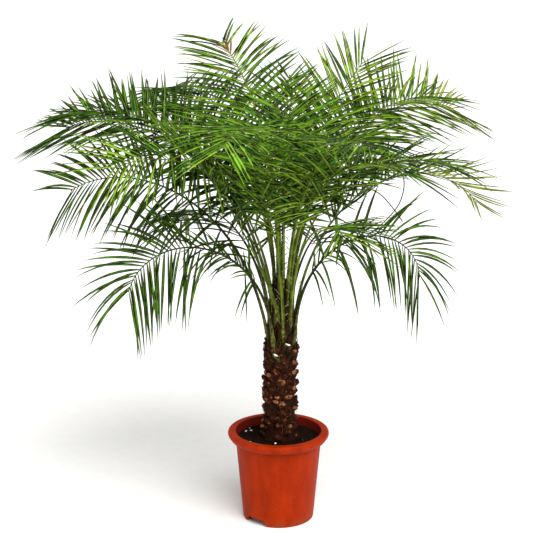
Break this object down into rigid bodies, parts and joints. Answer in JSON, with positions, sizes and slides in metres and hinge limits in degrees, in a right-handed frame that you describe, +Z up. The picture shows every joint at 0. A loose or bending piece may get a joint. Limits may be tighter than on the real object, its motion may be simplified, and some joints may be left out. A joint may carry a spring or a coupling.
{
  "type": "potted pygmy date palm",
  "caption": "Pygmy date palm: short trunk clad in old leaf bases, full crown of arching feather fronds, in a round plastic pot of compost.",
  "frame": {"origin": "middle of the pot's flat underside, on the ground", "axes": "+Z up, -Y towards the front of the plant as pictured, +X to the right of it"},
  "size_m": [1.2987, 1.1849, 1.2392],
  "materials": {
    "pot": "moulded polypropylene, satin orange terracotta colour",
    "compost": "dark moist peat compost with white perlite grains",
    "trunk": "fibrous reddish brown old leaf bases with pale cut faces",
    "fronds": "satin living green leaflets on olive green ribs"
  },
  "bodies": {
    "root": {"pot": "pot", "soil": "compost", "trunk": "trunk", "frond_low_left_inner": "fronds", "frond_low_left_outer": "fronds", "frond_low_right_inner": "fronds", "frond_low_right_outer": "fronds", "frond_low_back_left_inner": "fronds", "frond_low_back_left_outer": "fronds", "frond_low_back_right_inner": "fronds", "frond_low_back_right_outer": "fronds", "frond_mid_left": "fronds", "frond_mid_right_inner": "fronds", "frond_mid_right_outer": "fronds", "frond_mid_front_left": "fronds", "frond_mid_front_right": "fronds", "frond_mid_front": "fronds", "frond_mid_back": "fronds", "frond_high_left": "fronds", "frond_high_right": "fronds", "frond_high_side_left": "fronds", "frond_high_side_right": "fronds", "frond_high_back_left": "fronds", "frond_high_back_right": "fronds", "frond_high_front_left": "fronds", "frond_high_front_right": "fronds", "frond_far_left": "fronds", "frond_far_right": "fronds", "frond_far_back_left": "fronds", "frond_far_back_right": "fronds", "frond_top_left": "fronds", "frond_top_right": "fronds", "frond_top_front": "fronds", "frond_top_back": "fronds"}
  },
  "joints": []
}
